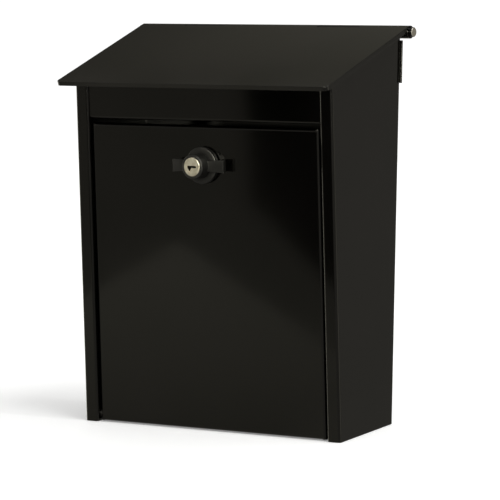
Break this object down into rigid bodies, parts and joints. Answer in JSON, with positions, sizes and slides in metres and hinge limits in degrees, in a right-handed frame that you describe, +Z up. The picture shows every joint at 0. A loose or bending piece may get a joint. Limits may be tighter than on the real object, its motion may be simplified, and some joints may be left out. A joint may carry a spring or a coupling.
{
  "type": "wall mounted mailbox",
  "caption": "Folded sheet steel letterbox with a sloping hinged lid, a drop-down front door and a winged knob lock with a key plug; it hangs on wall screws.",
  "frame": {"origin": "centre of the four wall screw holes, on the wall plane that the spacers touch", "axes": "+Z up, +Y into the wall (the front faces -Y), +X along the width to the right as seen from the front"},
  "size_m": [0.27, 0.13, 0.3308],
  "materials": {
    "black_coat": "gloss black powder coat",
    "black_part": "satin black painted zinc casting",
    "rubber": "matte",
    "nickel": "satin nickel plate",
    "zinc": "zinc plated steel"
  },
  "bodies": {
    "housing": {"shell": "black_coat", "floor_panel": "black_coat", "fascia": "black_coat", "fascia_rivets": "zinc", "hinge_leaf": "black_coat", "leaf_rivets": "zinc", "hinge_pin": "black_coat", "wall_spacers": "rubber", "lid_buffers": "rubber", "door_bumpers": "rubber", "pivot_pins": "zinc", "pivot_washers": "black_part"},
    "lid": {"lid": "black_coat"},
    "door": {"door": "black_coat", "lock_body": "black_part", "lock_gasket": "rubber", "lock_washer": "zinc", "lock_nut": "zinc"},
    "knob": {"knob": "black_part", "cam": "zinc", "cam_washer": "zinc", "cam_screw": "zinc"},
    "plug": {"key_plug": "nickel", "plug_wafers": "nickel"}
  },
  "joints": [
    {"name": "lid_hinge", "type": "hinge", "parent": "housing", "child": "lid", "pos_m": [0, -0.00675, 0.17352], "axis": [-1, 0, 0], "range_deg": [0, 105]},
    {"name": "door_hinge", "type": "hinge", "parent": "housing", "child": "door", "pos_m": [0, -0.08252, -0.14545], "axis": [1, 0, 0], "range_deg": [0, 100]},
    {"name": "knob_turn", "type": "hinge", "parent": "door", "child": "knob", "pos_m": [0, -0.10672, 0.06353], "axis": [0, -0.9966, -0.0819], "range_deg": [0, 90]},
    {"name": "plug_turn", "type": "hinge", "parent": "knob", "child": "plug", "pos_m": [0, -0.10672, 0.06353], "axis": [0, -0.9966, -0.0819], "range_deg": [0, 90]}
  ]
}
